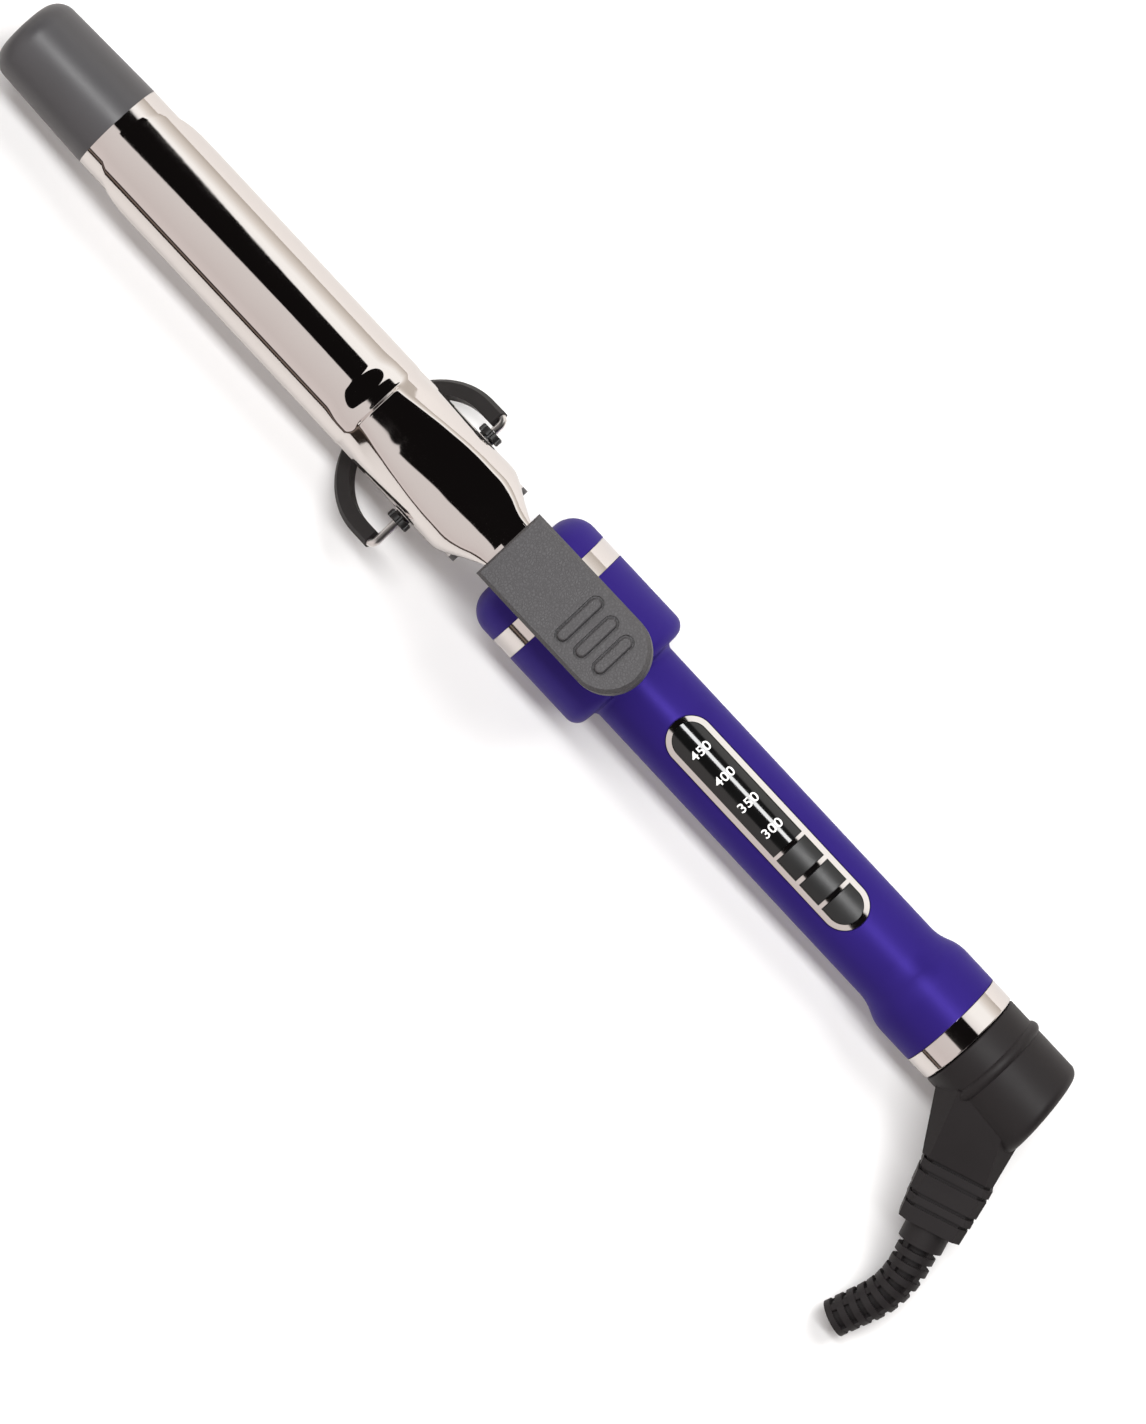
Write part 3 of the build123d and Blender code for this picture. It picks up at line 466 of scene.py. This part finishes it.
def lever_half(x):
    """The lever's half section, between the listed stations."""
    stations = [row[0] for row in LEVER_ROWS]
    x = min(max(x, stations[0]), stations[-1])
    index = max(i for i, station in enumerate(stations[:-1]) if station <= x)
    share = (x - stations[index]) / (stations[index + 1] - stations[index])
    rows = [LEVER_ROWS[min(max(index + k, 0), len(LEVER_ROWS) - 1)][1] for k in (-1, 0, 1, 2)]
    points = []
    for a, b, c, d in zip(*rows):
        a, b, c, d = Vector(a), Vector(b), Vector(c), Vector(d)
        curve = b * 2 + (c - a) * share + (a * 2 - b * 5 + c * 4 - d) * share**2
        curve += (b * 3 - a - c * 3 + d) * share**3
        points.append(curve / 2)
    return spaced(rounded(points, CORNER_CUTS), ACROSS)


def clamp_half(x):
    """The clamp's half section with the pressed groove where the jaw becomes the lever."""
    share = ramp(x, GROOVE_HIGH - 0.3, GROOVE_OUT + 0.2)
    if share <= 0:
        points = jaw_half(x)
    elif share >= 1:
        points = lever_half(x)
    else:
        points = [a.lerp(b, share) for a, b in zip(jaw_half(x), lever_half(x))]
    depth = GROOVE_DEPTH * ramp(x, GROOVE_IN, GROOVE_LOW) * (1 - ramp(x, GROOVE_HIGH, GROOVE_OUT))
    if depth <= 0:
        return points
    pressed = []
    for point in points:
        turn = math.atan2(point.x, point.y - JAW_RISE)
        fade = max(math.cos(min(turn * GROOVE_NARROWING, math.pi / 2)), 0.0)
        inward = Vector((-math.sin(turn), -math.cos(turn)))
        pressed.append(point + inward * depth * fade**GROOVE_FADE)
    return pressed


def clamp_stations():
    """Stations behind the jaw's round front: dense where the sheet bends."""
    flat_r = (JAW_R - SHEET / 2) * math.pi / 2
    x = JAW_START + flat_r
    stations = []
    while x < PAD_X:
        stations.append(x)
        fine = GROOVE_IN - 2 < x < GROOVE_OUT + 4
        x += FINE_STEP if fine else COARSE_STEP
    stations.append(PAD_X)
    return flat_r, stations


def clamp_mesh():
    """The whole stamping's outer skin; a solidify modifier gives the sheet its thickness."""
    flat_r, stations = clamp_stations()
    mesh = bmesh.new()
    rows = []
    first = stations[0]
    arc = [math.pi / 2 * step / ACROSS for step in range(-ACROSS, ACROSS + 1)]
    for step in range(FRONT_STEPS):
        row = []
        for index, turn in enumerate(arc):
            front = JAW_START + flat_r * (1 - math.sqrt(max(1 - (turn / (math.pi / 2))**2, 0)))
            x = front + (first - front) * step / FRONT_STEPS
            half = jaw_half(x)[abs(index - ACROSS)]
            row.append(at(x, math.copysign(half.x, turn), half.y))
        rows.append(row)
    for x in stations:
        half = clamp_half(x)
        row = [at(x, -p.x, p.y) for p in reversed(half)] + [at(x, p.x, p.y) for p in half[1:]]
        rows.append(row)
    grid_faces(mesh, rows)
    bmesh.ops.remove_doubles(mesh, verts=mesh.verts, dist=WELD)
    bmesh.ops.recalc_face_normals(mesh, faces=mesh.faces)
    data = bpy.data.meshes.new("clamp_plating")
    mesh.to_mesh(data)
    mesh.free()
    return data


def lug_mesh():
    """The two pierced lugs that turn on the bushings, and the tongue under the pad."""
    mesh = bmesh.new()
    for side in (1, -1):
        rings = []
        for radius, y in LUG_SECTION:
            ring = []
            for step in range(LUG_SEGMENTS):
                turn = 2 * math.pi * step / LUG_SEGMENTS
                ring.append(at(radius * math.cos(turn), side * y, radius * math.sin(turn)))
            rings.append(ring)
        grid_faces(mesh, rings + [rings[0]], closed_across=True)
    rows = []
    tilt = Matrix.Rotation(-PAD_TILT, 3, "Y")
    for u, half in TONGUE_STATIONS:
        top_half = half - TONGUE_CHAMFER
        outline = ((-half, TONGUE_LOW), (-half, TONGUE_SHOULDER), (-top_half, TONGUE_TOP),
                   (top_half, TONGUE_TOP), (half, TONGUE_SHOULDER), (half, TONGUE_LOW))
        ring = []
        for y, z in outline:
            point = tilt @ Vector((u, y, z))
            ring.append(at(PAD_X + point.x, point.y, PAD_Z + point.z))
        rows.append(ring)
    rings = grid_faces(mesh, rows, closed_across=True)
    mesh.faces.new(rings[0])
    mesh.faces.new(list(reversed(rings[-1])))
    bmesh.ops.remove_doubles(mesh, verts=mesh.verts, dist=WELD)
    bmesh.ops.recalc_face_normals(mesh, faces=mesh.faces)
    data = bpy.data.meshes.new("clamp_lugs")
    mesh.to_mesh(data)
    mesh.free()
    return data


def make_clamp(finishes):
    """The stamping's plated skin and its lugs, which together replace the CAD clamp."""
    chrome = finishes["clamp_chrome"]
    skin = piece("clamp_plating", clamp_mesh(), chrome, "clamp_chrome", "clamp", "clamp_spoon")
    skin.data.shade_smooth()
    thick = skin.modifiers.new("thickness", "SOLIDIFY")
    thick.thickness = SHEET * MM
    thick.offset = -1
    thick.use_even_offset = True
    bevel = skin.modifiers.new("edges", "BEVEL")
    bevel.width = SHEET_BEVEL * MM
    bevel.segments = 3
    bevel.limit_method = "ANGLE"
    bevel.angle_limit = BEVEL_ANGLE
    lugs = piece("clamp_lugs", lug_mesh(), chrome, "clamp_chrome", "clamp", "clamp_spoon")
    lugs.data.shade_smooth()
    lugs.data.set_sharp_from_angle(angle=LUG_SHARP_ANGLE)


# The spring's middle line, from the end of its lower leaf round the fold: along the barrel and up.
SPRING_LINE = ((13.8, 13.15), (3.6, 13.15), (1.2, 13.5), (1.6, 14.1), (4.5, 15.2), (12.3, 18.75))
SPRING_HALF_THICK = 0.2
SPRING_HALF_WIDTH = 2.9
SPRING_SHARP_ANGLE = math.radians(35)


def make_spring(finishes):
    """The folded leaf spring as one fixed mesh: its lower leaf lies along the barrel and its upper leaf rises
    towards the lever.
    """
    path = rounded([Vector(point) for point in SPRING_LINE], CORNER_CUTS)
    mesh = bmesh.new()
    rows = []
    for index, point in enumerate(path):
        before = path[max(index - 1, 0)]
        after = path[min(index + 1, len(path) - 1)]
        along = (after - before).normalized()
        normal = Vector((-along.y, along.x)) * SPRING_HALF_THICK
        ring = []
        for side, face in ((-1, -1), (1, -1), (1, 1), (-1, 1)):
            place = point + normal * face
            ring.append(at(place.x, side * SPRING_HALF_WIDTH, place.y))
        rows.append(ring)
    rings = grid_faces(mesh, rows, closed_across=True)
    mesh.faces.new(rings[0])
    mesh.faces.new(list(reversed(rings[-1])))
    bmesh.ops.recalc_face_normals(mesh, faces=mesh.faces)
    data = bpy.data.meshes.new("spring_leaf")
    mesh.to_mesh(data)
    mesh.free()
    leaf = bpy.data.objects.new("spring_leaf", data)
    bpy.context.scene.collection.objects.link(leaf)
    leaf.data.materials.append(finishes["spring_steel"])
    leaf.data.shade_smooth()
    leaf.data.set_sharp_from_angle(angle=SPRING_SHARP_ANGLE)
    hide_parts("clamp_spring")
    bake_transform(leaf)


# ---------------------------------------------------------------- scale numbers

SCALE_MARKS = ("450", "400", "350", "300")
SCALE_FIRST = 92.3
SCALE_STEP = 8.65
DIGIT_HEIGHT = 2.5
MARK_LENGTH = 5.8
DIGIT_WEIGHT = 0.012
DIGIT_SPACING = 1.08
PRINT_LIFT = 0.03
INK_THICK = 0.02
BEND_REACH = 3.0
BEND_STEP = 0.25


def scale_mark(text, x):
    """One temperature mark, printed on the curved window and read from the cord outlet's side."""
    curve = bpy.data.curves.new(f"mark_{text}", "FONT")
    curve.body = text
    curve.align_x = "CENTER"
    curve.offset = DIGIT_WEIGHT
    curve.space_character = DIGIT_SPACING
    holder = bpy.data.objects.new("mark_holder", curve)
    bpy.context.scene.collection.objects.link(holder)
    flat = bpy.data.meshes.new_from_object(holder.evaluated_get(bpy.context.evaluated_depsgraph_get()))
    bpy.data.objects.remove(holder)
    bpy.data.curves.remove(curve)
    mesh = bmesh.new()
    mesh.from_mesh(flat)
    bpy.data.meshes.remove(flat)
    xs = [v.co.x for v in mesh.verts]
    ys = [v.co.y for v in mesh.verts]
    middle = Vector(((min(xs) + max(xs)) / 2, (min(ys) + max(ys)) / 2, 0))
    wide = MARK_LENGTH / (max(xs) - min(xs))
    tall = DIGIT_HEIGHT / (max(ys) - min(ys))
    for vert in mesh.verts:
        place = vert.co - middle
        vert.co = Vector((-place.y * tall, place.x * wide, 0))
    cut = -BEND_REACH
    while cut < BEND_REACH:
        whole = mesh.verts[:] + mesh.edges[:] + mesh.faces[:]
        bmesh.ops.bisect_plane(mesh, geom=whole, plane_co=(0, cut, 0), plane_no=(0, 1, 0))
        cut += BEND_STEP
    radius = WINDOW_R + PRINT_LIFT
    for vert in mesh.verts:
        y = vert.co.y
        vert.co = at(x + vert.co.x, y, math.sqrt(radius**2 - y**2))
    data = bpy.data.meshes.new(f"mark_{text}")
    mesh.to_mesh(data)
    mesh.free()
    return data


def make_scale(finishes):
    """The four temperature marks, each a thin film of ink."""
    for step, text in enumerate(SCALE_MARKS):
        data = scale_mark(text, SCALE_FIRST + step * SCALE_STEP)
        mark = piece(f"scale_mark_{text}", data, finishes["scale_white"], "scale_white", "handle")
        film = mark.modifiers.new("ink", "SOLIDIFY")
        film.thickness = INK_THICK * MM
        film.offset = -1


# ---------------------------------------------------------------- surroundings


TABLE_WHITE = (0.86, 0.86, 0.86)
# The colour that glossy rays see on the table: a painted reflection, darker and warmer than the table itself.
TABLE_PAINTED_REFLECTION = (0.60, 0.58, 0.565)


def make_floor():
    """A round white table top; glossy rays see it darker and warmer, a painted reflection tone in the chrome.
    """
    mesh = bmesh.new()
    bmesh.ops.create_circle(mesh, cap_ends=True, segments=96, radius=FLOOR_R)
    data = bpy.data.meshes.new("table_top")
    mesh.to_mesh(data)
    mesh.free()
    floor = bpy.data.objects.new("table_top", data)
    bpy.context.scene.collection.objects.link(floor)
    floor.location = (AIM.x * MM, 0, 0)
    paint = Paint("table_white")
    mirrored = paint.node("ShaderNodeLightPath").outputs["Is Glossy Ray"]
    # Painted reflection: glossy rays get the darker, warmer colour, everything else the white.
    paint.colour(paint.mix(mirrored, TABLE_WHITE, TABLE_PAINTED_REFLECTION))
    paint.set(Roughness=0.9, Specular_IOR_Level=0.1)
    floor.data.materials.append(paint.material)


# The studio as seen from the iron, by angle round its axis from straight up (0) towards +Y.
STUDIO = (
    (-180, (0.02, 0.02, 0.02)),
    (-97, (0.02, 0.015, 0.012)),
    (-91.5, (0.03, 0.022, 0.018)),
    (-90.0, (0.22, 0.17, 0.14)),
    (-88.0, (0.20, 0.15, 0.13)),
    (-86.5, (0.012, 0.010, 0.009)),
    (-84.0, (0.012, 0.010, 0.009)),
    (-83.0, (0.78, 0.70, 0.68)),
    (-60, (0.72, 0.65, 0.63)),
    (0, (0.80, 0.75, 0.73)),
    (40, (1.16, 1.14, 1.11)),
    (62, (1.16, 1.14, 1.11)),
    (78, (0.86, 0.80, 0.74)),
    (94, (0.62, 0.56, 0.50)),
    (180, (0.62, 0.60, 0.58)),
)
# The dark gap overhead, in the same degrees. A tip is a direction's X, from -1 to 1.
GAP_COLOUR = (0.006, 0.005, 0.005)
GAP_MIDDLE = 10.5
GAP_HALF = 23.0
GAP_SOFT_IN = 0.5
GAP_SOFT_OUT = 0.7
GAP_LEAN = 134.0
LEAN_LIMIT = 0.11
FRONT_TIPS = (0.12, 0.5)
GAP_FRONT_SHIFT = 25.0
GAP_FRONT_SPREAD = 40.0
REAR_TIPS = (-0.12, -0.08)
GAP_REAR_SPREAD = 10.0
GAP_END_TIPS = (-0.95, -0.93)


def make_world():
    """Pale softboxes on both sides, a dark gap between them overhead and a dark line at the horizon.

    The gap leans: its angle round the iron changes with how far a direction tips towards +X.
    It also widens past the front and rear tips, and closes at its end tips.
    """
    world = bpy.data.worlds.new("studio")
    bpy.context.scene.world = world
    world.use_nodes = True
    graph = Graph(world.node_tree)
    background = graph.tree.nodes["Background"]
    split = graph.node("ShaderNodeSeparateXYZ")
    graph.link(graph.node("ShaderNodeTexCoord").outputs["Generated"], split.inputs["Vector"])
    around = graph.math("ARCTAN2", split.outputs["Y"], split.outputs["Z"])
    degrees = graph.math("MULTIPLY", around, 180 / math.pi)
    tip = split.outputs["X"]
    stops = [((angle + 180) / 360, colour) for angle, colour in STUDIO]
    sides = graph.ramp(graph.span(degrees, 0, 1, -180, 180), stops)
    lean = graph.span(tip, LEAN_LIMIT * GAP_LEAN, -LEAN_LIMIT * GAP_LEAN, -LEAN_LIMIT, LEAN_LIMIT)
    shift = graph.math("ADD", lean, graph.span(tip, 0, GAP_FRONT_SHIFT, *FRONT_TIPS))
    off_middle = graph.math("SUBTRACT", degrees, graph.math("ADD", shift, GAP_MIDDLE))
    spread = graph.math("ADD", graph.span(tip, 0, GAP_FRONT_SPREAD, *FRONT_TIPS),
                        graph.span(tip, GAP_REAR_SPREAD, 0, *REAR_TIPS))
    outside = graph.math("SUBTRACT", graph.math("ABSOLUTE", off_middle), spread)
    gap = graph.math("MULTIPLY", graph.span(outside, 1, 0, GAP_HALF - GAP_SOFT_IN, GAP_HALF + GAP_SOFT_OUT),
                     graph.span(tip, 0, 1, *GAP_END_TIPS))
    studio = graph.mix(gap, sides, GAP_COLOUR)
    to_camera = graph.node("ShaderNodeLightPath").outputs["Is Camera Ray"]
    graph.link(graph.mix(to_camera, studio, (1.0, 1.0, 1.0)), background.inputs["Color"])


# The lights point at the axis, LIGHTS_X millimetres from the pivot.
LIGHTS_X = 40
# Each light: place from that point and size in metres, power in watts, colour.
KEY = (Vector((0.15, 0.75, 0.95)), (0.6, 0.6), 12.0, (1.0, 0.99, 0.98))
FILL = (Vector((-0.5, -0.6, 1.2)), (1.2, 1.2), 2.0, (1, 1, 1))
STRIP = (Vector((0.0, 0.16, 0.9)), (1.2, 0.13), 8.0, (1, 1, 1))


def area_light(name, target, offset, size, power, colour):
    """A rectangular light that points at its target."""
    place = target + offset
    data = bpy.data.lights.new(name, "AREA")
    data.shape = "RECTANGLE"
    data.size, data.size_y = size
    data.energy = power
    data.color = colour
    light = bpy.data.objects.new(name, data)
    bpy.context.scene.collection.objects.link(light)
    light.location = place
    light.rotation_euler = (target - place).to_track_quat("-Z", "Y").to_euler()
    light.visible_camera = False
    return light


def make_lights():
    """Soft lights for the shadows, and a strip that only puts a highlight on the matt pieces."""
    middle = at(LIGHTS_X, 0, 0)
    key = area_light("key", middle, *KEY)
    key.visible_glossy = False
    fill = area_light("fill", middle, *FILL)
    fill.visible_glossy = False
    strip = area_light("strip", middle, *STRIP)
    matt = bpy.data.collections.new("matt_pieces")
    for obj in bpy.context.scene.objects:
        if obj.type == "MESH" and "chrome" not in obj.data.materials[0].name:
            matt.objects.link(obj)
    strip.light_linking.receiver_collection = matt


def make_camera():
    """A long lens from above, turned so that the iron lies along the picture's diagonal."""
    data = bpy.data.cameras.new("camera")
    data.lens = LENS_MM
    data.sensor_width = SENSOR_MM
    data.clip_start = 0.01
    camera = bpy.data.objects.new("camera", data)
    bpy.context.scene.collection.objects.link(camera)
    place = at(CAMERA_X, AIM.y, CAMERA_HEIGHT / MM)
    forward = (at(*AIM) - place).normalized()
    right = Vector((math.cos(AXIS_TURN), math.sin(AXIS_TURN), 0))
    right = (right - forward * right.dot(forward)).normalized()
    up = right.cross(forward)
    camera.matrix_world = Matrix((
        (right.x, up.x, -forward.x, place.x),
        (right.y, up.y, -forward.y, place.y),
        (right.z, up.z, -forward.z, place.z),
        (0, 0, 0, 1),
    ))
    bpy.context.scene.camera = camera


# ---------------------------------------------------------------- build

finishes = {name: make(name) for name, make in MATERIALS.items()}
make_camera()
make_world()
make_floor()
dress_frame(finishes)
make_clamp(finishes)
make_spring(finishes)
make_scale(finishes)
make_lights()
bpy.context.scene.view_settings.view_transform = "Standard"
